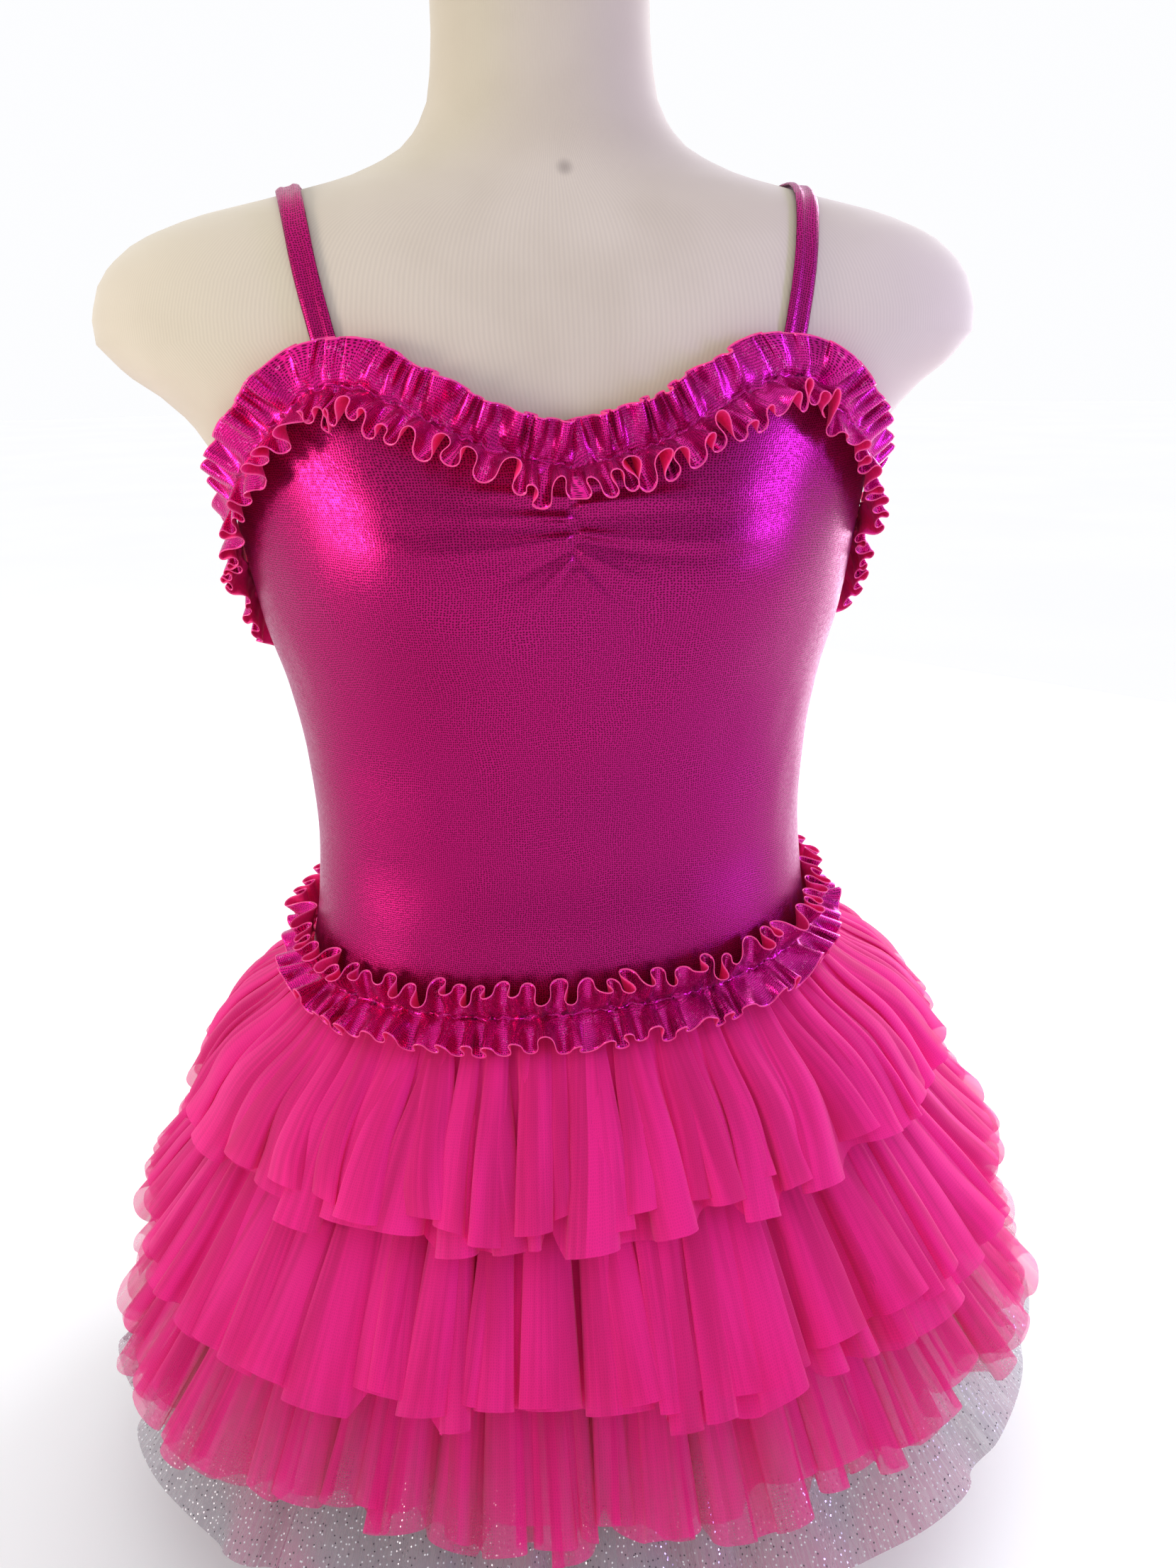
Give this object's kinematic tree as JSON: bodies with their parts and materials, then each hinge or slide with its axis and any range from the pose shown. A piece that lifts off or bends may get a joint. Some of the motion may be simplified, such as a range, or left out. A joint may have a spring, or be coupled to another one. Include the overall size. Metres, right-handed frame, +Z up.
{
  "type": "tutu dress on a dress form",
  "caption": "Camisole tutu dress with a ruffled neckline and a tiered tulle skirt over glitter net, worn by a limbless dress form.",
  "frame": {"origin": "centre of the dress form's base, on the surface it stands on", "axes": "+Z up, -Y towards the front of the dress, +X towards the right of the picture"},
  "size_m": [0.5891, 0.4708, 0.832],
  "materials": {
    "jersey": "ivory knitted cover, matt, fine vertical ribs",
    "foil": "magenta stretch cloth printed with tiny foil dots, metallic sheen, plain hot pink reverse",
    "tulle": "hot pink soft tulle, matt, see-through in one layer",
    "net": "stiff greyish white net with silver glitter"
  },
  "bodies": {
    "root": {"dress_form": "jersey", "bodice_front": "foil", "bodice_back": "foil", "hip_yoke": "tulle", "strap_left": "foil", "strap_right": "foil", "neck_ruffle": "foil", "hip_ruffle": "foil", "tulle_tier_1": "tulle", "tulle_tier_2": "tulle", "tulle_tier_3": "tulle", "glitter_net": "net"}
  },
  "joints": []
}
